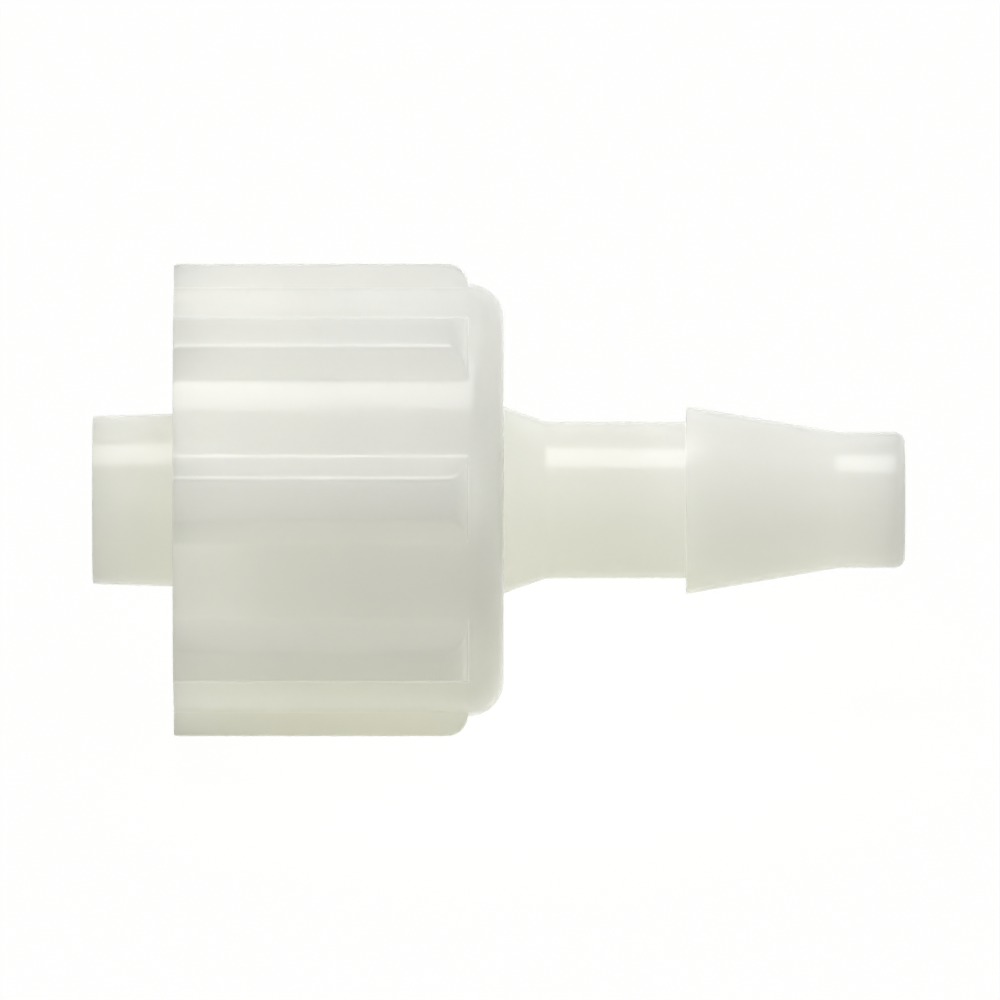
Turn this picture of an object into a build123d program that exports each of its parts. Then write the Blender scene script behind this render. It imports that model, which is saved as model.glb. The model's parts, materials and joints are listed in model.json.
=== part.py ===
from build123d import *

import os
from math import hypot, radians, sqrt, tan

# Male luer lock fitting with a hose barb, moulded in one piece.
# Everything lies on the X axis: the luer cone opens at the origin and faces -X, the hose end faces +X.
# Lengths are in millimetres and +Z is up. A valley of the grip points straight down, so the fitting
# lies on the crests of the two ribs beside it.

# Luer cone, which seals in the other fitting's socket
tip_diameter = 3.96  # at the open end
cone_taper = 0.06  # growth of the diameter per unit of length
tip_reach = 1.91  # how far the cone stands out in front of the collar
cone_root_fillet = 0.3

# Lock collar around the cone
cavity_diameter = 8.0  # also the root of the lock thread
cavity_depth = 6.85
cavity_fillet = 0.3
mouth_chamfer = 0.15
collar_wall = 1.09  # between the cavity and the valleys of the grip
rear_wall = 0.9  # between the cavity's floor and the collar's rear face
shoulder_radius = 0.83

# Lock thread inside the collar
thread_starts = 2
thread_lead = 5.0  # advance of one start in a full turn
thread_height = 0.5
thread_crest_width = 0.4
thread_flank_angle = 25.0  # between a flank and a plane across the axis
first_thread_angle = 30.0  # turn of the first ridge's mouth end about the axis
thread_foot_sink = 0.2  # how deep a ridge's foot is rooted in the wall
mouth_clearance = 0.45  # plain wall between the mouth and the first ridge
floor_clearance = 0.5  # plain wall between the last ridge and the floor

# Grip ribs along the collar
rib_count = 8
rib_height = 0.465
rib_crest_width = 0.98
rib_flank_angle = 45.0  # between a flank and the rib's centre plane
rib_edge_radius = 0.2
rib_foot_radius = 0.2
rib_end_length = 0.5  # length over which a rib's rear end rounds down to the collar

# Hose end: a flared root, a neck, one barb and a plain nose
flare_height = 0.355
flare_length = 1.0
neck_diameter = 3.69
neck_length = 3.28
barb_height = 0.37  # step of the barb above the neck
barb_length = 3.58
nose_diameter = 3.2
nose_length = 1.57
nose_edge_radius = 0.25

# Fluid passage through the whole fitting
passage_diameter = 2.3

# How far the cut that rounds the collar reaches past it
cutter_margin = 1.0

# Places along the axis
collar_front = tip_reach
cavity_floor = collar_front + cavity_depth
rear_wall_middle = cavity_floor + rear_wall / 2
collar_rear = cavity_floor + rear_wall
rib_end = collar_rear - shoulder_radius
rounding_start = rib_end - rib_end_length
neck_start = collar_rear + flare_length
barb_start = neck_start + neck_length
nose_start = barb_start + barb_length
hose_end = nose_start + nose_length

# Radii
tip_radius = tip_diameter / 2
cone_root_radius = tip_radius + rear_wall_middle * cone_taper / 2
cavity_radius = cavity_diameter / 2
collar_radius = cavity_radius + collar_wall
shoulder_end_radius = collar_radius - shoulder_radius
crest_radius = collar_radius + rib_height
neck_radius = neck_diameter / 2
flare_radius = neck_radius + flare_height
barb_radius = neck_radius + barb_height
nose_radius = nose_diameter / 2
passage_radius = passage_diameter / 2

# A grip rib is a wedge rooted in the collar's wall, with its apex cut off by the crest cylinder
rib_crest_half = rib_crest_width / 2
rib_flank_run = tan(radians(rib_flank_angle))
rib_apex = sqrt(crest_radius**2 - rib_crest_half**2) + rib_crest_half / rib_flank_run
rib_foot = collar_radius - collar_wall / 2
rib_foot_half = (rib_apex - rib_foot) * rib_flank_run
first_rib_angle = 180 / rib_count - 90

# Half widths of a thread ridge at its crest, at the wall and at its sunk foot
thread_flank_run = tan(radians(thread_flank_angle))
thread_crest_half = thread_crest_width / 2
thread_base_half = thread_crest_half + thread_height * thread_flank_run
thread_foot_half = thread_base_half + thread_foot_sink * thread_flank_run
thread_start = collar_front + mouth_clearance + thread_base_half
thread_end = cavity_floor - floor_clearance - thread_base_half


def distance_from_axis(corner):
    """Distance of a cross section's corner from the fitting's axis."""
    return hypot(corner.X, corner.Y)


with BuildPart() as luer_lock_fitting:
    # Ribbed cross section of the collar, over the collar's whole length
    with BuildSketch(Plane.YZ.offset(collar_front)) as grip_section:
        Circle(collar_radius)
        with PolarLocations(0, rib_count, start_angle=first_rib_angle):
            Polygon((rib_foot, -rib_foot_half), (rib_apex, 0), (rib_foot, rib_foot_half), align=None)
        Circle(crest_radius, mode=Mode.INTERSECT)
        fillet(grip_section.vertices().group_by(distance_from_axis)[-1], rib_edge_radius)
        fillet(grip_section.vertices().group_by(distance_from_axis)[0], rib_foot_radius)
    extrude(amount=collar_rear - collar_front)

    # Turned cut that rounds off the ribs' rear ends and the collar's shoulder
    with BuildSketch(Plane.XZ) as rounding_section:
        with BuildLine():
            rib_rounding = TangentArc((rounding_start, crest_radius), (rib_end, collar_radius), tangent=(1, 0))
            shoulder = TangentArc(rib_rounding @ 1, (collar_rear, shoulder_end_radius), tangent=(1, 0))
            Polyline(
                shoulder @ 1,
                (collar_rear + cutter_margin, shoulder_end_radius),
                (collar_rear + cutter_margin, crest_radius + cutter_margin),
                (rounding_start, crest_radius + cutter_margin),
                rib_rounding @ 0,
            )
        make_face()
    revolve(axis=Axis.X, mode=Mode.SUBTRACT)

    # Hose end, rooted in the collar's rear wall
    with BuildSketch(Plane.XZ) as hose_section:
        Polygon(
            (rear_wall_middle, 0),
            (rear_wall_middle, flare_radius),
            (collar_rear, flare_radius),
            (neck_start, neck_radius),
            (barb_start, neck_radius),
            (barb_start, barb_radius),
            (nose_start, nose_radius),
            (hose_end, nose_radius),
            (hose_end, 0),
            align=None,
        )
        nose_corner = hose_section.vertices().sort_by_distance((hose_end, nose_radius))[0]
        fillet(nose_corner, nose_edge_radius)
    revolve(axis=Axis.X)

    # Cavity of the collar
    with BuildSketch(Plane.YZ.offset(collar_front)) as cavity_section:
        Circle(cavity_radius)
    extrude(amount=cavity_depth, mode=Mode.SUBTRACT)
    front_edges = luer_lock_fitting.edges().filter_by_position(Axis.X, collar_front, collar_front)
    chamfer(front_edges.sort_by_distance((collar_front, 0, 0))[0], mouth_chamfer)
    floor_edges = luer_lock_fitting.edges().filter_by_position(Axis.X, cavity_floor, cavity_floor)
    fillet(floor_edges, cavity_fillet)

    # Luer cone, rooted in the same wall
    with BuildSketch(Plane.XZ) as cone_section:
        Polygon(
            (0, 0),
            (0, tip_radius),
            (rear_wall_middle, cone_root_radius),
            (rear_wall_middle, 0),
            align=None,
        )
    revolve(axis=Axis.X)
    floor_edges = luer_lock_fitting.edges().filter_by_position(Axis.X, cavity_floor, cavity_floor)
    fillet(floor_edges.sort_by(SortBy.RADIUS)[0], cone_root_fillet)

    # Fluid passage
    with BuildSketch(Plane.YZ) as passage_section:
        Circle(passage_radius)
    extrude(amount=hose_end, mode=Mode.SUBTRACT)

    # Lock thread: one ridge is swept along its helix, and each start is a turned copy of it
    with BuildLine() as ridge_path:
        Helix(
            thread_lead,
            thread_end - thread_start,
            cavity_radius,
            center=(thread_start, 0, 0),
            direction=(1, 0, 0),
        )
    ridge_start = ridge_path.line @ 0
    inward = Vector(ridge_start.X, 0, 0) - ridge_start
    ridge_plane = Plane(ridge_start, x_dir=(-1, 0, 0), z_dir=inward.cross(Vector(1, 0, 0)))
    with BuildSketch(ridge_plane) as ridge_section:
        Polygon(
            (-thread_foot_half, -thread_foot_sink),
            (-thread_crest_half, thread_height),
            (thread_crest_half, thread_height),
            (thread_foot_half, -thread_foot_sink),
            align=None,
        )
    ridge = sweep(path=ridge_path.line, is_frenet=True, mode=Mode.PRIVATE)
    for start in range(thread_starts):
        add(ridge.rotate(Axis.X, first_thread_angle + 360 * start / thread_starts))

luer_lock_fitting.part.label = "luer_lock_fitting"

os.makedirs("parts", exist_ok=True)
export_step(luer_lock_fitting.part, "parts/luer_lock_fitting.step")
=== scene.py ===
import json
import math

import bmesh
import bpy
from bpy.props import FloatProperty, FloatVectorProperty, IntProperty, PointerProperty
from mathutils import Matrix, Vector


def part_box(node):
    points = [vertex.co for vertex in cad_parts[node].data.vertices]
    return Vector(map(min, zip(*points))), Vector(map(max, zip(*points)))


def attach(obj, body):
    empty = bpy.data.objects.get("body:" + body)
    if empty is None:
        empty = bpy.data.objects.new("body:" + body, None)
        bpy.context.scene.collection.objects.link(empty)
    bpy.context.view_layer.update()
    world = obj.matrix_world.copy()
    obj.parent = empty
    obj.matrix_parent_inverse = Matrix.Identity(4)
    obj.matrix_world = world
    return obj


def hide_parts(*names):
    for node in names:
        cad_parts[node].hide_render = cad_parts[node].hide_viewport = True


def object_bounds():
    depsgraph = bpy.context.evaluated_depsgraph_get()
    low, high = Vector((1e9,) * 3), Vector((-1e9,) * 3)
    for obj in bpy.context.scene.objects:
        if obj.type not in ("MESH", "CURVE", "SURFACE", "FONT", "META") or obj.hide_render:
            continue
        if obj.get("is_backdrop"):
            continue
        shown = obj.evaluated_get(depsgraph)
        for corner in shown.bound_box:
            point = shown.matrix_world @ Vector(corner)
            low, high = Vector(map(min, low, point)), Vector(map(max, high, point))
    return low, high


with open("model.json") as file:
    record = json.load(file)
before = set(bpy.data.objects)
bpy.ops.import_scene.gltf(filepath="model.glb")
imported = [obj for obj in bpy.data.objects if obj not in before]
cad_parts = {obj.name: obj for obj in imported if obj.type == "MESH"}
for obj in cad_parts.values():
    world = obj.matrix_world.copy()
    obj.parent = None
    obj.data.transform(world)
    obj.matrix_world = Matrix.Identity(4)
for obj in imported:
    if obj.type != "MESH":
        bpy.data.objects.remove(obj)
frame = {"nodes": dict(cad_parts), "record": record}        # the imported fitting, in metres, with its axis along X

bl_info = {
    "name": "Luer Lock Hose Fitting",
    "version": (1, 0, 0),
    "blender": (4, 5, 0),
    "location": "View3D > Sidebar > Fitting",
    "description": "Models the moulded fitting, its lock thread and the studio it is shown in",
    "category": "Add Mesh",
}

NODE = "luer_lock_fitting"
BODY = "moulded_body"
MM = 0.001
PLACES = {mount["name"]: mount for mount in frame["record"]["mounts"]}
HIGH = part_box(NODE)[1]
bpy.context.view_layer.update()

# Softness of single edges, in times the usual edge hold
TIP_SOFTNESS = 1.6
RIB_FRONT_SOFTNESS = 1.3
REAR_FACE_SOFTNESS = 2
FLARE_ROOT_SOFTNESS = 1.2
FLARE_END_SOFTNESS = 3
BARB_END_SOFTNESS = 2.5

# Loops of the wall
COLUMNS = 22             # along the axis, in each rib and its valley
FILLET_STEPS = 5         # round the cavity's floor and the nose's end
VALLEY_STEPS = 3         # across half a valley
CREST_SHARE = 0.4        # the most of half a crest that its edge loop takes
FLANK_SHARE = 0.3        # the most of a flank that an edge loop takes
FADED_RIB = 0.02         # height of a rib that has run out, as a share of its full height

# Shares of a rib's rounding at the rear, and of the bore's length, at which loops stand
RIB_END_STATIONS = (0.0, 0.14, 0.28, 0.42, 0.56, 0.7, 0.83, 0.94)
BORE_STATIONS = (0.75, 0.5, 0.25)

# Loops round the shoulder: degrees from its start, and how evenly their points are spread by then
SHOULDER_STATIONS = (
    (0, 0.0), (4, 0.0), (12, 0.1), (24, 0.4), (36, 0.7),
    (48, 0.9), (60, 1.0), (72, 1.0), (82, 1.0), (90, 1.0),
)

# The lock thread
RIDGE_FOOT = 0.2 * MM    # how deep a ridge's foot sits in the wall
RIDGE_EDGE = 0.08 * MM   # softening along a ridge's crest
RIDGE_END = 0.07 * MM    # softening round a ridge's ends
RIDGE_BEVEL = 3          # faces across each softened edge
RIDGE_STEPS = 180        # steps that a ridge is wound in
LEVEL = 0.001 * MM       # points this near a height count as on it
SMOOTH_BELOW = math.radians(40)  # edges that turn less than this look smooth

# Painted shade: a factor on the plastic's colour for each length of the fitting, and the lengths over which it
# changes
CONE_PAINTED_SHADE = 0.985
COLLAR_PAINTED_SHADE = 0.955
NECK_PAINTED_SHADE = 0.925
HOSE_UNSHADED = 1.0
MOUTH_BLEND = 0.5 * MM
STEP_BLEND = 0.01 * MM   # to each side of the barb's step

# The studio
GLOW_FADE = (0.004, 0.014)  # how far out the floor's glow begins and ends its fade
FLOOR_WHITE = 1.04       # strength of the white that is seen in place of the floor
FLOOR_WHITE_SHARE = 0.92    # the rest shows the floor's own light and shadow
FLOOR_SIZE = 1.0
FLOOR_CUTS = 3
FLOOR_SPREAD = 4         # how many times wider the floor's rim reaches
CLIP = (0.01, 10.0)      # nearest and furthest that the camera sees


def place_radius(name):
    """The radius of a named place on the fitting, in metres."""
    return PLACES[name]["dims"]["r_mm"] * MM


def place_start(name):
    """How far along the axis a named place begins, in metres."""
    return PLACES[name]["pos_m"][0]


def length(label, text, metres):
    """A size in metres."""
    return FloatProperty(
        name=label, description=text, default=metres, min=0.0, precision=6, unit="LENGTH", subtype="DISTANCE"
    )


def angle(label, text, degrees):
    """An angle, given in degrees."""
    return FloatProperty(
        name=label, description=text, default=math.radians(degrees), unit="ROTATION", subtype="ANGLE"
    )


def amount(label, text, value):
    """A strength or a ratio."""
    return FloatProperty(name=label, description=text, default=value, min=0.0)


def count(label, text, value):
    """A number of like features."""
    return IntProperty(name=label, description=text, default=value, min=1)


def colour(label, text, value):
    """A colour."""
    return FloatVectorProperty(
        name=label, description=text, default=value, size=3, min=0.0, max=1.0, subtype="COLOR"
    )


class FittingSizes(bpy.types.PropertyGroup):
    """The sizes of the moulding."""

    passage_radius: length(
        "Passage radius", "Radius of the bore right through the fitting", place_radius("fluid_passage")
    )
    tip_radius: length("Tip radius", "Radius of the tapered cone at its open end", place_radius("luer_cone"))
    cone_taper: amount("Cone taper", "Growth of the cone's diameter for each unit of length", 0.06)
    collar_front: length(
        "Collar front", "Where the collar's mouth stands along the axis", place_start("lock_thread")
    )
    cavity_radius: length(
        "Cavity radius", "Radius of the space inside the collar", place_radius("lock_thread")
    )
    cavity_floor: length("Cavity floor", "Where the space inside the collar ends", 8.76 * MM)
    cavity_fillet: length("Cavity fillet", "Radius at the foot of the cone and round the floor", 0.3 * MM)
    mouth_chamfer: length("Mouth chamfer", "Chamfer round the inside of the mouth", 0.15 * MM)
    collar_radius: length("Collar radius", "Radius of the collar between its ribs", 5.09 * MM)
    collar_rear: length("Collar rear", "Where the collar's rear face stands", 9.66 * MM)
    shoulder_radius: length("Shoulder radius", "Radius of the collar's rear shoulder", 0.83 * MM)
    rib_height: length("Rib height", "How far a grip rib stands above the collar", 0.465 * MM)
    rib_crest: length("Rib crest", "Width of a grip rib's flat crest", 0.98 * MM)
    rib_end: length("Rib end", "Length over which a rib rounds down at the rear", 0.5 * MM)
    rib_edge_hold: length(
        "Rib edge hold", "How near the loops lie that keep a rib's long edges tight", 0.113 * MM
    )
    rib_foot_hold: length("Rib foot hold", "How near the loops lie that keep a rib's feet tight", 0.09 * MM)
    flare_radius: length("Flare radius", "Radius where the hose end leaves the collar", 2.2 * MM)
    flare_length: length("Flare length", "Length of the flare behind the collar", 1.0 * MM)
    neck_radius: length("Neck radius", "Radius of the plain neck", 1.845 * MM)
    barb_start: length("Barb start", "Where the barb's step stands", 13.94 * MM)
    barb_radius: length("Barb radius", "Radius of the barb at its step", place_radius("tube_barb"))
    nose_start: length("Nose start", "Where the barb ends and the nose begins", 17.52 * MM)
    nose_radius: length("Nose radius", "Radius of the nose", place_radius("tube_nose"))
    nose_edge: length("Nose edge", "Radius round the end of the nose", 0.25 * MM)
    hose_end: length("Hose end", "Where the hose end stops", HIGH.x)
    edge_hold: length("Edge hold", "How near the loops lie that keep a moulded edge tight", 0.05 * MM)
    thread_height: length("Thread height", "How far a ridge of the lock thread stands inwards", 0.5 * MM)
    thread_crest: length("Thread crest", "Width of a ridge's crest", 0.4 * MM)
    thread_flank: angle("Thread flank", "Slope of a ridge's sides", 25)
    thread_lead: length("Thread lead", "How far a ridge climbs in one turn", 5.0 * MM)
    thread_first: length("Thread first", "Where the middle of a ridge begins along the axis", 2.793 * MM)
    thread_travel: length("Thread travel", "How far along the axis a ridge runs", 5.034 * MM)
    thread_turn: angle("Thread turn", "How far round from the top the first ridge begins", 30)
    thread_starts: count("Thread starts", "How many ridges wind side by side", 2)
    rib_count: count("Rib count", "How many grip ribs stand round the collar", 8)


class FittingFinish(bpy.types.PropertyGroup):
    """The look of the plastic and of the studio."""

    plastic_colour: colour(
        "Plastic colour", "Natural milky colour of the moulded plastic", (0.795, 0.795, 0.772)
    )
    streak_colour: colour(
        "Streak colour", "Colour of the faint flow streaks in the plastic", (0.78, 0.782, 0.738)
    )
    gloss: FloatProperty(
        name="Roughness", description="Roughness of the moulded surface", default=0.17,
        min=0.0, max=1.0, subtype="FACTOR",
    )
    depth: length("Depth of light", "How far light travels inside the plastic", 8.0 * MM)
    floor_colour: colour("Floor colour", "Colour of the studio floor", (0.4, 0.4, 0.36))
    glow_colour: colour(
        "Glow colour", "Colour of the light that comes up through the floor", (1.0, 1.0, 0.8)
    )
    glow_near: amount(
        "Glow under the fitting", "How strongly the floor, a backlit sheet, shines under the fitting", 0.48
    )
    glow_far: amount("Glow further out", "How strongly the floor shines away from the fitting", 0.15)
    lamp_power: FloatProperty(
        name="Lamp power", description="Power of the softbox above the fitting", default=0.0485,
        min=0.0, unit="POWER",
    )
    lamp_height: length("Lamp height", "Height of the softbox above the fitting", 0.12)
    lamp_depth: length("Lamp depth", "Size of the softbox from front to back", 0.07)
    lamp_width: length("Lamp width", "Size of the softbox along the fitting", 0.066)
    lamp_lead: length("Lamp lead", "How far the softbox hangs forward of the fitting", 0.006)
    sky: amount("Room light", "Strength of the light from all round", 0.545)
    view_height: angle("View height", "How far above level the camera looks from", 22.5)
    view_distance: length("View distance", "How far away the camera stands", 1.0)
    view_width: length("View width", "Width of what the camera sees", 23.5 * MM)
    view_middle: length("View middle", "Where along the axis the camera looks", 9.573 * MM)


def start_clean():
    """Leaves object mode with nothing selected."""
    if bpy.context.object and bpy.context.object.mode != "OBJECT":
        bpy.ops.object.mode_set(mode="OBJECT")
    bpy.ops.object.select_all(action="DESELECT")


def take(piece):
    """Makes one piece the selected and active one."""
    start_clean()
    piece.select_set(True)
    bpy.context.view_layer.objects.active = piece


def paint(piece):
    """Gives a piece the plastic and nothing else."""
    piece.data.materials.clear()
    piece.data.materials.append(milky_plastic())


def finish_piece(piece, name):
    """Names a finished piece, gives it the plastic and joins it to the frame."""
    take(piece)
    bpy.ops.object.transform_apply(location=True, rotation=True, scale=True)
    bpy.ops.object.shade_smooth()
    piece.name = name
    piece.data.name = name
    paint(piece)
    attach(piece, "root")


def apply_modifier(piece, kind, **settings):
    """Adds one modifier to the active piece and applies it."""
    modifier = piece.modifiers.new(kind.title(), kind)
    for key, value in settings.items():
        setattr(modifier, key, value)
    bpy.ops.object.modifier_apply(modifier=modifier.name)


def pick_edges(piece, wanted):
    """Selects the edges that are wanted, in edit mode."""
    mesh = bmesh.from_edit_mesh(piece.data)
    for edge in mesh.edges:
        edge.select_set(wanted(edge))
    mesh.select_flush_mode()
    bmesh.update_edit_mesh(piece.data)


def pick_points(piece, wanted):
    """Selects the points whose place is wanted, in edit mode."""
    mesh = bmesh.from_edit_mesh(piece.data)
    for vertex in mesh.verts:
        vertex.select_set(wanted(vertex.co))
    mesh.select_flush_mode()
    bmesh.update_edit_mesh(piece.data)


def soften(corners):
    """Turns the corners of the wall's section into the stations of its loops.

    Each corner is (x, radius, softness, steps). With steps it becomes an arc of that radius, without
    them three loops that lie that far apart. The first and last corners only give a direction.
    """
    stations = []
    for index in range(1, len(corners) - 1):
        here = Vector(corners[index][:2])
        back = Vector(corners[index - 1][:2]) - here
        ahead = Vector(corners[index + 1][:2]) - here
        softness, steps = corners[index][2:]
        back.normalize()
        ahead.normalize()
        if softness == 0.0:
            stations.append(here)
            continue
        if steps == 0:
            stations += [here + back * softness, here, here + ahead * softness]
            continue
        half = back.angle(ahead) / 2
        reach = softness / math.tan(half)
        middle = here + (back + ahead).normalized() * (softness / math.sin(half))
        first = here + back * reach - middle
        last = here + ahead * reach - middle
        turn = first.angle(last)
        tight = softness * turn / steps
        stations.append(here + back * (reach + tight))
        for step in range(steps + 1):
            part = step / steps
            mixed = first * math.sin((1 - part) * turn) + last * math.sin(part * turn)
            stations.append(middle + mixed / math.sin(turn))
        stations.append(here + ahead * (reach + tight))
    return [(station.x, station.y) for station in stations]


def rib_half(sizes, cap):
    """The points of half a rib under a cap radius, as (angle, radius).

    They run from the middle of the rib to the middle of the next valley.
    """
    valley = sizes.collar_radius
    full = valley + sizes.rib_height
    corner = sizes.rib_crest / 2
    ridge = (corner + math.sqrt(full**2 - corner**2)) * math.sin(math.pi / 4)
    edge = math.asin(ridge / cap) - math.pi / 4
    foot = math.asin(ridge / valley) - math.pi / 4
    start = Vector((math.sin(edge), math.cos(edge))) * cap
    end = Vector((math.sin(foot), math.cos(foot))) * valley
    flank = (end - start).length
    most = flank * FLANK_SHARE
    inner = min(sizes.rib_edge_hold / cap, edge * CREST_SHARE)
    points = [(0.0, cap), ((edge - inner) / 2, cap), (edge - inner, cap), (edge, cap)]
    for along in (min(sizes.rib_edge_hold, most), flank / 2, flank - min(sizes.rib_foot_hold, most)):
        spot = start.lerp(end, along / flank)
        points.append((math.atan2(spot.x, spot.y), spot.length))
    points.append((foot, valley))
    middle = math.pi / sizes.rib_count
    first = foot + sizes.rib_foot_hold / valley
    for step in range(VALLEY_STEPS + 1):
        points.append((first + (middle - first) * step / VALLEY_STEPS, valley))
    return points


class RingPuller:
    """Draws the wall of the fitting out ring by ring from a circle in edit mode."""

    def __init__(self, sizes, x, radius):
        self.count = COLUMNS * sizes.rib_count
        self.sizes = sizes
        bpy.ops.mesh.primitive_circle_add(
            vertices=self.count, radius=radius, fill_type="NOTHING",
            location=(x, 0, 0), rotation=(0, math.pi / 2, 0),
        )
        self.piece = bpy.context.object
        bpy.ops.object.transform_apply(location=True, rotation=True, scale=True)
        bpy.ops.object.mode_set(mode="EDIT")
        bpy.ops.mesh.select_mode(type="EDGE")
        bpy.ops.mesh.select_all(action="SELECT")
        mesh = bmesh.from_edit_mesh(self.piece.data)
        column = mesh.verts.layers.int.new("column")
        for vertex in mesh.verts:
            turn = math.atan2(vertex.co.z, vertex.co.y) / math.tau
            vertex[column] = round(turn * self.count) % self.count
        bmesh.update_edit_mesh(self.piece.data)
        self.x = x
        self.radius = radius

    def pull(self, x, radius):
        """Extrudes the ring to a new place along the axis and a new radius."""
        bpy.ops.mesh.extrude_edges_move(TRANSFORM_OT_translate={"value": (x - self.x, 0, 0)})
        scale = radius / self.radius
        bpy.ops.transform.resize(value=(1, scale, scale), center_override=(x, 0, 0))
        self.x = x
        self.radius = radius

    def shape(self, half):
        """Moves the newest ring's points onto a section given for half a rib."""
        mesh = bmesh.from_edit_mesh(self.piece.data)
        column = mesh.verts.layers.int["column"]
        for vertex in mesh.verts:
            if not vertex.select:
                continue
            rib, step = divmod(vertex[column], COLUMNS)
            offset = step - COLUMNS // 2
            angle_off, radius = half[abs(offset)]
            turn = math.tau * (rib + 0.5) / self.sizes.rib_count + math.copysign(angle_off, offset)
            vertex.co = (self.x, radius * math.cos(turn), radius * math.sin(turn))
        bmesh.update_edit_mesh(self.piece.data)

    def close(self):
        """Joins the newest ring to the first one."""
        pick_edges(self.piece, lambda edge: edge.is_boundary)
        bpy.ops.mesh.bridge_edge_loops()
        bpy.ops.mesh.select_all(action="SELECT")
        bpy.ops.mesh.normals_make_consistent(inside=False)
        bpy.ops.object.mode_set(mode="OBJECT")
        self.piece.data.attributes.remove(self.piece.data.attributes["column"])
        return self.piece


def cone_radius(sizes, x):
    """Radius of the tapered cone at a place along the axis."""
    return sizes.tip_radius + sizes.cone_taper / 2 * x


class FITTING_OT_moulding(bpy.types.Operator):
    """Models the fitting's body: cone, collar with its grip ribs, neck, barb, nose and fluid passage"""

    bl_idname = "fitting.moulding"
    bl_label = "Moulding"

    def execute(self, context):
        sizes = context.scene.fitting_sizes
        hold = sizes.edge_hold
        cone_foot = cone_radius(sizes, sizes.cavity_floor)
        start_clean()
        ring = RingPuller(sizes, 0.0, sizes.passage_radius)
        inside = [
            (0.0, sizes.passage_radius, 0.0, 0),
            (0.0, sizes.tip_radius, hold * TIP_SOFTNESS, 0),
            (sizes.cavity_floor, cone_foot, sizes.cavity_fillet, FILLET_STEPS),
            (sizes.cavity_floor, sizes.cavity_radius, sizes.cavity_fillet, FILLET_STEPS),
            (sizes.collar_front + sizes.mouth_chamfer, sizes.cavity_radius, hold, 0),
            (sizes.collar_front, sizes.cavity_radius + sizes.mouth_chamfer, hold, 0),
            (sizes.collar_front, sizes.collar_radius, 0.0, 0),
        ]
        ring.pull(0.0, sizes.passage_radius + hold)
        for x, radius in soften(inside):
            ring.pull(x, radius)
        self.draw_ribs(sizes, ring)
        self.draw_shoulder(sizes, ring)
        outside = [
            (sizes.collar_rear, sizes.collar_radius - sizes.shoulder_radius, 0.0, 0),
            (sizes.collar_rear, sizes.flare_radius, hold * FLARE_ROOT_SOFTNESS, 0),
            (sizes.collar_rear + sizes.flare_length, sizes.neck_radius, hold * FLARE_END_SOFTNESS, 0),
            (sizes.barb_start, sizes.neck_radius, hold, 0),
            (sizes.barb_start, sizes.barb_radius, hold, 0),
            (sizes.nose_start, sizes.nose_radius, hold * BARB_END_SOFTNESS, 0),
            (sizes.hose_end, sizes.nose_radius, sizes.nose_edge, FILLET_STEPS),
            (sizes.hose_end, sizes.passage_radius, hold, 0),
            (0.0, sizes.passage_radius, 0.0, 0),
        ]
        for x, radius in soften(outside):
            ring.pull(x, radius)
        for part in BORE_STATIONS:
            ring.pull(sizes.hose_end * part, sizes.passage_radius)
        ring.pull(hold, sizes.passage_radius)
        body = ring.close()
        take(body)
        apply_modifier(body, "SUBSURF", levels=1, render_levels=1)
        finish_piece(body, BODY)
        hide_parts(NODE)
        paint(frame["nodes"][NODE])
        return {"FINISHED"}

    def draw_ribs(self, sizes, ring):
        """The collar's outside, with its ribs, from the mouth to where they end."""
        front = sizes.collar_front
        hold = sizes.edge_hold * RIB_FRONT_SOFTNESS
        crest = sizes.collar_radius + sizes.rib_height
        full = rib_half(sizes, crest)
        ring.pull(front, sizes.collar_radius - hold)
        ring.shape([(turn, radius - hold) for turn, radius in full])
        run_end = sizes.collar_rear - sizes.shoulder_radius - sizes.rib_end
        for x in (front, front + hold, (front + run_end) / 2, run_end - hold):
            ring.pull(x, sizes.collar_radius)
            ring.shape(full)
        bend = (sizes.rib_end**2 + sizes.rib_height**2) / (2 * sizes.rib_height)
        last = math.asin(sizes.rib_end / bend)
        for part in RIB_END_STATIONS:
            turn = last * part
            ring.pull(run_end + bend * math.sin(turn), sizes.collar_radius)
            ring.shape(rib_half(sizes, crest - bend * (1 - math.cos(turn))))

    def draw_shoulder(self, sizes, ring):
        """The rounded shoulder behind the ribs, down to the rear face."""
        begin = sizes.collar_rear - sizes.shoulder_radius
        inner = sizes.collar_radius - sizes.shoulder_radius
        tight = rib_half(sizes, sizes.collar_radius + sizes.rib_height * FADED_RIB)
        even = math.pi / (COLUMNS // 2) / sizes.rib_count
        for degrees, part in SHOULDER_STATIONS:
            turn = math.radians(degrees)
            radius = inner + sizes.shoulder_radius * math.cos(turn)
            ring.pull(begin + sizes.shoulder_radius * math.sin(turn), radius)
            ring.shape([
                (off * (1 - part) + even * index * part, radius) for index, (off, _) in enumerate(tight)
            ])
        ring.pull(sizes.collar_rear, inner - sizes.edge_hold * REAR_FACE_SOFTNESS)


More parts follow.
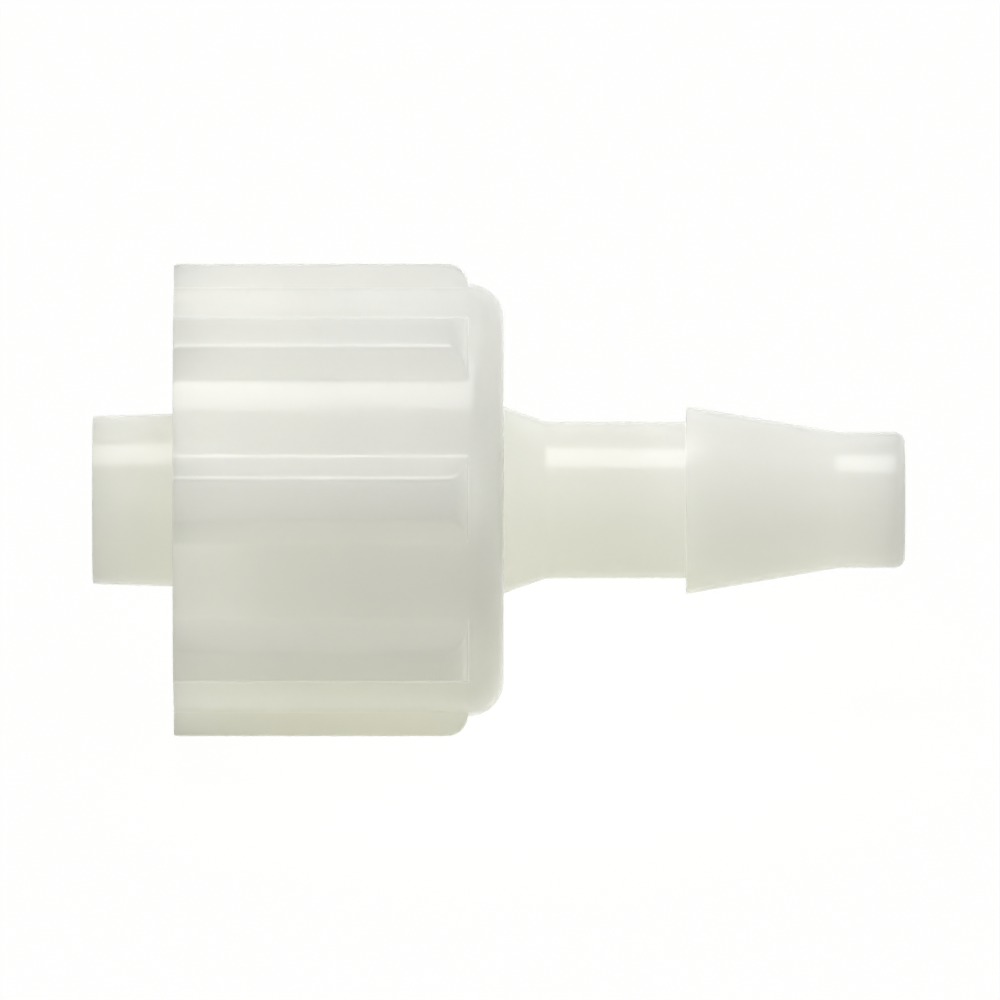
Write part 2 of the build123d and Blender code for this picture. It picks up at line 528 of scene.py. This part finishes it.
class FITTING_OT_lock_thread(bpy.types.Operator):
    """Models the ridges of the lock thread that wind inside the collar, as part of the moulding"""

    bl_idname = "fitting.lock_thread"
    bl_label = "Lock thread"

    def execute(self, context):
        sizes = context.scene.fitting_sizes
        body = bpy.data.objects.get(BODY)
        if body is None:
            raise RuntimeError("make the moulding before its lock thread")
        first = self.draw_ridge(sizes)
        ridges = [first]
        for start in range(1, sizes.thread_starts):
            take(first)
            bpy.ops.object.duplicate(linked=False)
            ridges.append(bpy.context.object)
            ridges[-1].rotation_euler = (math.tau * start / sizes.thread_starts, 0, 0)
        for ridge in ridges:
            take(ridge)
            bpy.ops.object.transform_apply(location=True, rotation=True, scale=True)
        for ridge in ridges:
            take(body)
            apply_modifier(body, "BOOLEAN", operation="UNION", solver="EXACT", object=ridge)
            take(ridge)
            bpy.ops.object.delete()
        take(body)
        bpy.ops.object.shade_smooth_by_angle(angle=SMOOTH_BELOW)
        return {"FINISHED"}

    def draw_ridge(self, sizes):
        """One ridge: its section, wound along the thread, with closed and slightly rounded ends."""
        start_clean()
        crest = sizes.cavity_radius - sizes.thread_height
        foot = sizes.cavity_radius + RIDGE_FOOT
        bpy.ops.mesh.primitive_plane_add(
            size=1.0, location=(sizes.thread_first, 0, (crest + foot) / 2), rotation=(math.pi / 2, 0, 0)
        )
        ridge = bpy.context.object
        ridge.scale = (sizes.thread_crest, foot - crest, 1.0)
        bpy.ops.object.transform_apply(location=True, rotation=True, scale=True)
        bpy.ops.object.mode_set(mode="EDIT")
        bpy.ops.mesh.select_mode(type="VERT")
        pick_points(ridge, lambda point: point.z > foot - LEVEL)
        wider = 1 + 2 * (foot - crest) * math.tan(sizes.thread_flank) / sizes.thread_crest
        bpy.ops.transform.resize(value=(wider, 1, 1), center_override=(sizes.thread_first, 0, 0))
        pick_points(ridge, lambda point: point.z < crest + LEVEL)
        bpy.ops.mesh.bevel(affect="VERTICES", offset=RIDGE_EDGE, segments=RIDGE_BEVEL, profile=0.5)
        bpy.ops.mesh.select_all(action="SELECT")
        bpy.ops.mesh.delete(type="ONLY_FACE")
        bpy.ops.object.mode_set(mode="OBJECT")
        turn = sizes.thread_travel / sizes.thread_lead * math.tau
        apply_modifier(
            ridge, "SCREW", axis="X", angle=turn, screw_offset=sizes.thread_travel,
            steps=RIDGE_STEPS, render_steps=RIDGE_STEPS,
        )
        bpy.ops.object.mode_set(mode="EDIT")
        bpy.ops.mesh.select_mode(type="EDGE")
        pick_edges(ridge, lambda edge: edge.is_boundary)
        bpy.ops.mesh.fill_holes(sides=0)
        bpy.ops.mesh.select_all(action="SELECT")
        bpy.ops.mesh.normals_make_consistent(inside=False)
        pick_edges(ridge, lambda edge: any(len(face.verts) > 4 for face in edge.link_faces))
        bpy.ops.mesh.bevel(affect="EDGES", offset=RIDGE_END, segments=RIDGE_BEVEL, profile=0.5)
        bpy.ops.object.mode_set(mode="OBJECT")
        ridge.rotation_euler = (sizes.thread_turn, 0, 0)
        bpy.ops.object.transform_apply(location=True, rotation=True, scale=True)
        return ridge


def painted_shade_along(nodes, links, place):
    """Painted shade along the fitting: the hose end keeps the plastic's colour, and the cone, the collar and the
    neck are painted darker in turn.
    """
    sizes = bpy.context.scene.fitting_sizes
    parts = nodes.new("ShaderNodeSeparateXYZ")
    links.new(place.outputs["Object"], parts.inputs["Vector"])
    along = nodes.new("ShaderNodeMapRange")
    along.label = "Along the fitting"
    along.inputs["From Max"].default_value = sizes.hose_end
    links.new(parts.outputs["X"], along.inputs["Value"])
    # Painted shade: the colour is darkened along the fitting, most on the neck
    shade_ramp = nodes.new("ShaderNodeValToRGB")
    shade_ramp.label = "Painted shade along the fitting"
    links.new(along.outputs["Result"], shade_ramp.inputs["Fac"])
    stops = (
        (sizes.collar_front, CONE_PAINTED_SHADE),
        (sizes.collar_front + MOUTH_BLEND, COLLAR_PAINTED_SHADE),
        (sizes.collar_rear, COLLAR_PAINTED_SHADE),
        (sizes.collar_rear + sizes.flare_length, NECK_PAINTED_SHADE),
        (sizes.barb_start - STEP_BLEND, NECK_PAINTED_SHADE),
        (sizes.barb_start + STEP_BLEND, HOSE_UNSHADED),
    )
    marks = shade_ramp.color_ramp.elements
    while len(marks) < len(stops):
        marks.new(1.0)
    for mark, (where, shade) in zip(marks, stops):
        mark.position = where / sizes.hose_end
        mark.color = (shade, shade, shade, 1.0)
    return shade_ramp


def add_noise(nodes, links, label, scale, detail, place):
    """A cloudy pattern over the fitting."""
    noise = nodes.new("ShaderNodeTexNoise")
    noise.label = label
    noise.inputs["Scale"].default_value = scale
    noise.inputs["Detail"].default_value = detail
    links.new(place, noise.inputs["Vector"])
    return noise


def add_bump(nodes, links, label, strength, distance, pattern):
    """A relief of the surface that follows a pattern."""
    bump = nodes.new("ShaderNodeBump")
    bump.label = label
    bump.inputs["Strength"].default_value = strength
    bump.inputs["Distance"].default_value = distance
    links.new(pattern.outputs["Fac"], bump.inputs["Height"])
    return bump


def milky_plastic():
    """Natural milky plastic: light goes some way in, the skin is softly glossy, with faint flow streaks."""
    if "milky_plastic" in bpy.data.materials:
        return bpy.data.materials["milky_plastic"]
    finish = bpy.context.scene.fitting_finish
    material = bpy.data.materials.new("milky_plastic")
    material.use_nodes = True
    nodes, links = material.node_tree.nodes, material.node_tree.links
    shader = nodes["Principled BSDF"]
    shader.subsurface_method = "BURLEY"
    shader.inputs["Subsurface Weight"].default_value = 1.0
    shader.inputs["Subsurface Radius"].default_value = (1.0, 1.0, 0.88)
    shader.inputs["Subsurface Scale"].default_value = finish.depth
    shader.inputs["IOR"].default_value = 1.49
    shader.inputs["Specular IOR Level"].default_value = 0.5

    place = nodes.new("ShaderNodeTexCoord")
    along = nodes.new("ShaderNodeMapping")
    along.label = "Stretch along the flow"
    along.inputs["Scale"].default_value = (0.12, 1.0, 1.0)
    links.new(place.outputs["Object"], along.inputs["Vector"])

    streaks = add_noise(
        nodes, links, "Flow streaks", scale=700.0, detail=3.0, place=along.outputs["Vector"]
    )
    tint = nodes.new("ShaderNodeMix")
    tint.data_type = "RGBA"
    tint.inputs[6].default_value = (*finish.plastic_colour, 1.0)
    tint.inputs[7].default_value = (*finish.streak_colour, 1.0)
    links.new(streaks.outputs["Fac"], tint.inputs["Factor"])
    # Painted shade: the plastic's colour is multiplied by the darkening along the fitting
    shaded_colour = nodes.new("ShaderNodeMix")
    shaded_colour.data_type = "RGBA"
    shaded_colour.blend_type = "MULTIPLY"
    shaded_colour.inputs["Factor"].default_value = 1.0
    links.new(tint.outputs[2], shaded_colour.inputs[6])
    links.new(painted_shade_along(nodes, links, place).outputs["Color"], shaded_colour.inputs[7])
    links.new(shaded_colour.outputs[2], shader.inputs["Base Color"])

    cloud = add_noise(
        nodes, links, "Cloudy gloss", scale=1500.0, detail=4.0, place=place.outputs["Object"]
    )
    gloss = nodes.new("ShaderNodeMapRange")
    gloss.label = "Roughness, a little either way"
    gloss.inputs["To Min"].default_value = finish.gloss - 0.04
    gloss.inputs["To Max"].default_value = finish.gloss + 0.04
    links.new(cloud.outputs["Fac"], gloss.inputs["Value"])
    links.new(gloss.outputs["Result"], shader.inputs["Roughness"])

    skin = add_noise(
        nodes, links, "Moulded skin", scale=9000.0, detail=3.0, place=place.outputs["Object"]
    )
    swell = add_bump(nodes, links, "Slow waves", strength=0.03, distance=0.02 * MM, pattern=streaks)
    grain = add_bump(nodes, links, "Fine grain", strength=0.08, distance=0.003 * MM, pattern=skin)
    links.new(swell.outputs["Normal"], grain.inputs["Normal"])
    links.new(grain.outputs["Normal"], shader.inputs["Normal"])
    return material


def rays_that_see_white(nodes, links):
    """Picks out the rays that see the studio as white: the eye's own, mirrored and passed through."""
    path = nodes.new("ShaderNodeLightPath")
    mirrored = nodes.new("ShaderNodeMath")
    mirrored.operation = "MAXIMUM"
    links.new(path.outputs["Is Camera Ray"], mirrored.inputs[0])
    links.new(path.outputs["Is Glossy Ray"], mirrored.inputs[1])
    passed = nodes.new("ShaderNodeMath")
    passed.operation = "MAXIMUM"
    links.new(mirrored.outputs["Value"], passed.inputs[0])
    links.new(path.outputs["Is Transmission Ray"], passed.inputs[1])
    return passed


def studio_floor(finish):
    """A pale backlit sheet that shows nearly white to the eye and keeps a faint, soft shadow."""
    material = bpy.data.materials.new("studio_floor")
    material.use_nodes = True
    nodes, links = material.node_tree.nodes, material.node_tree.links
    nodes.clear()
    lit = nodes.new("ShaderNodeBsdfDiffuse")
    lit.inputs["Color"].default_value = (*finish.floor_colour, 1.0)
    backlight = nodes.new("ShaderNodeEmission")
    backlight.inputs["Color"].default_value = (*finish.glow_colour, 1.0)
    place = nodes.new("ShaderNodeTexCoord")
    centre = nodes.new("ShaderNodeMapping")
    centre.inputs["Location"].default_value = (-finish.view_middle, 0.0, 0.0)
    links.new(place.outputs["Object"], centre.inputs["Vector"])
    away = nodes.new("ShaderNodeVectorMath")
    away.operation = "LENGTH"
    links.new(centre.outputs["Vector"], away.inputs[0])
    fade = nodes.new("ShaderNodeMapRange")
    fade.interpolation_type = "SMOOTHSTEP"
    fade.inputs["From Min"].default_value = GLOW_FADE[0]
    fade.inputs["From Max"].default_value = GLOW_FADE[1]
    fade.inputs["To Min"].default_value = finish.glow_near
    fade.inputs["To Max"].default_value = finish.glow_far
    links.new(away.outputs["Value"], fade.inputs["Value"])
    links.new(fade.outputs["Result"], backlight.inputs["Strength"])
    sheet = nodes.new("ShaderNodeAddShader")
    links.new(lit.outputs["BSDF"], sheet.inputs[0])
    links.new(backlight.outputs["Emission"], sheet.inputs[1])
    white = nodes.new("ShaderNodeEmission")
    white.inputs["Strength"].default_value = FLOOR_WHITE
    seen = rays_that_see_white(nodes, links)
    share = nodes.new("ShaderNodeMath")
    share.operation = "MULTIPLY"
    share.inputs[1].default_value = FLOOR_WHITE_SHARE
    links.new(seen.outputs["Value"], share.inputs[0])
    mix = nodes.new("ShaderNodeMixShader")
    links.new(share.outputs["Value"], mix.inputs["Fac"])
    links.new(sheet.outputs["Shader"], mix.inputs[1])
    links.new(white.outputs["Emission"], mix.inputs[2])
    output = nodes.new("ShaderNodeOutputMaterial")
    links.new(mix.outputs["Shader"], output.inputs["Surface"])
    return material


class FITTING_OT_studio(bpy.types.Operator):
    """Lays the floor, hangs the softbox, lights the room and sets up the camera"""

    bl_idname = "fitting.studio"
    bl_label = "Studio"

    def execute(self, context):
        finish = context.scene.fitting_finish
        self.lay_floor(finish)
        self.hang_lamp(finish)
        self.light_room(context, finish)
        self.set_camera(context, finish)
        context.scene.view_settings.view_transform = "Standard"
        return {"FINISHED"}

    def lay_floor(self, finish):
        """A wide floor under the fitting."""
        start_clean()
        low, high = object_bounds()
        bpy.ops.mesh.primitive_plane_add(size=FLOOR_SIZE, location=((low.x + high.x) / 2, 0, low.z))
        floor = bpy.context.object
        floor.name = "studio_floor"
        bpy.ops.object.mode_set(mode="EDIT")
        bpy.ops.mesh.select_all(action="SELECT")
        bpy.ops.mesh.subdivide(number_cuts=FLOOR_CUTS)
        bpy.ops.mesh.select_all(action="SELECT")
        bpy.ops.mesh.region_to_loop()
        bpy.ops.mesh.extrude_edges_move(TRANSFORM_OT_translate={"value": (0, 0, 0)})
        bpy.ops.transform.resize(value=(FLOOR_SPREAD, FLOOR_SPREAD, 1), center_override=(0, 0, low.z))
        bpy.ops.object.mode_set(mode="OBJECT")
        bpy.ops.object.transform_apply(location=True, rotation=True, scale=True)
        floor.data.materials.append(studio_floor(finish))
        floor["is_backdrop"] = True

    def hang_lamp(self, finish):
        """A nearly square softbox above the fitting and a little forward of it."""
        start_clean()
        hung = (finish.view_middle, -finish.lamp_lead, finish.lamp_height)
        bpy.ops.object.light_add(type="AREA", location=hung)
        lamp = bpy.context.object
        lamp.name = "softbox"
        lamp.data.shape = "RECTANGLE"
        lamp.data.size = finish.lamp_width
        lamp.data.size_y = finish.lamp_depth
        lamp.data.energy = finish.lamp_power
        lamp.visible_camera = False

    def light_room(self, context, finish):
        """Even light from all round, with white behind the fitting."""
        world = bpy.data.worlds.new("studio_room")
        world.use_nodes = True
        nodes, links = world.node_tree.nodes, world.node_tree.links
        strength = nodes.new("ShaderNodeMapRange")
        strength.inputs["To Min"].default_value = finish.sky
        strength.inputs["To Max"].default_value = 1.0
        links.new(rays_that_see_white(nodes, links).outputs["Value"], strength.inputs["Value"])
        backdrop = nodes["Background"]
        backdrop.inputs["Color"].default_value = (1.0, 1.0, 1.0, 1.0)
        links.new(strength.outputs["Result"], backdrop.inputs["Strength"])
        context.scene.world = world

    def set_camera(self, context, finish):
        """A long lens, looking across the fitting from a little above."""
        start_clean()
        back = Vector((0, -math.cos(finish.view_height), math.sin(finish.view_height)))
        target = Vector((finish.view_middle, 0, 0))
        bpy.ops.object.camera_add(
            location=target + back * finish.view_distance, rotation=(math.pi / 2 - finish.view_height, 0, 0)
        )
        camera = bpy.context.object
        camera.name = "studio_camera"
        camera.data.lens = camera.data.sensor_width * finish.view_distance / finish.view_width
        camera.data.clip_start, camera.data.clip_end = CLIP
        context.scene.camera = camera


class FITTING_PT_panel(bpy.types.Panel):
    """Lists what makes the fitting and its studio, with the sizes and the finish"""

    bl_idname = "FITTING_PT_panel"
    bl_label = "Luer Lock Fitting"
    bl_space_type = "VIEW_3D"
    bl_region_type = "UI"
    bl_category = "Fitting"

    def draw(self, context):
        layout = self.layout
        for maker in MAKERS:
            layout.operator(maker.bl_idname)
        for group in (context.scene.fitting_sizes, context.scene.fitting_finish):
            column = layout.column(align=True)
            for key in group.__annotations__:
                column.prop(group, key)


MAKERS = (FITTING_OT_moulding, FITTING_OT_lock_thread, FITTING_OT_studio)
CLASSES = (FittingSizes, FittingFinish, *MAKERS, FITTING_PT_panel)


def register():
    for entry in CLASSES:
        bpy.utils.register_class(entry)
    bpy.types.Scene.fitting_sizes = PointerProperty(type=FittingSizes)
    bpy.types.Scene.fitting_finish = PointerProperty(type=FittingFinish)


def unregister():
    del bpy.types.Scene.fitting_finish
    del bpy.types.Scene.fitting_sizes
    for entry in reversed(CLASSES):
        bpy.utils.unregister_class(entry)


def main():
    """Makes every piece in order."""
    register()
    bpy.ops.fitting.moulding()
    bpy.ops.fitting.lock_thread()
    bpy.ops.fitting.studio()


if __name__ == "__main__":
    main()
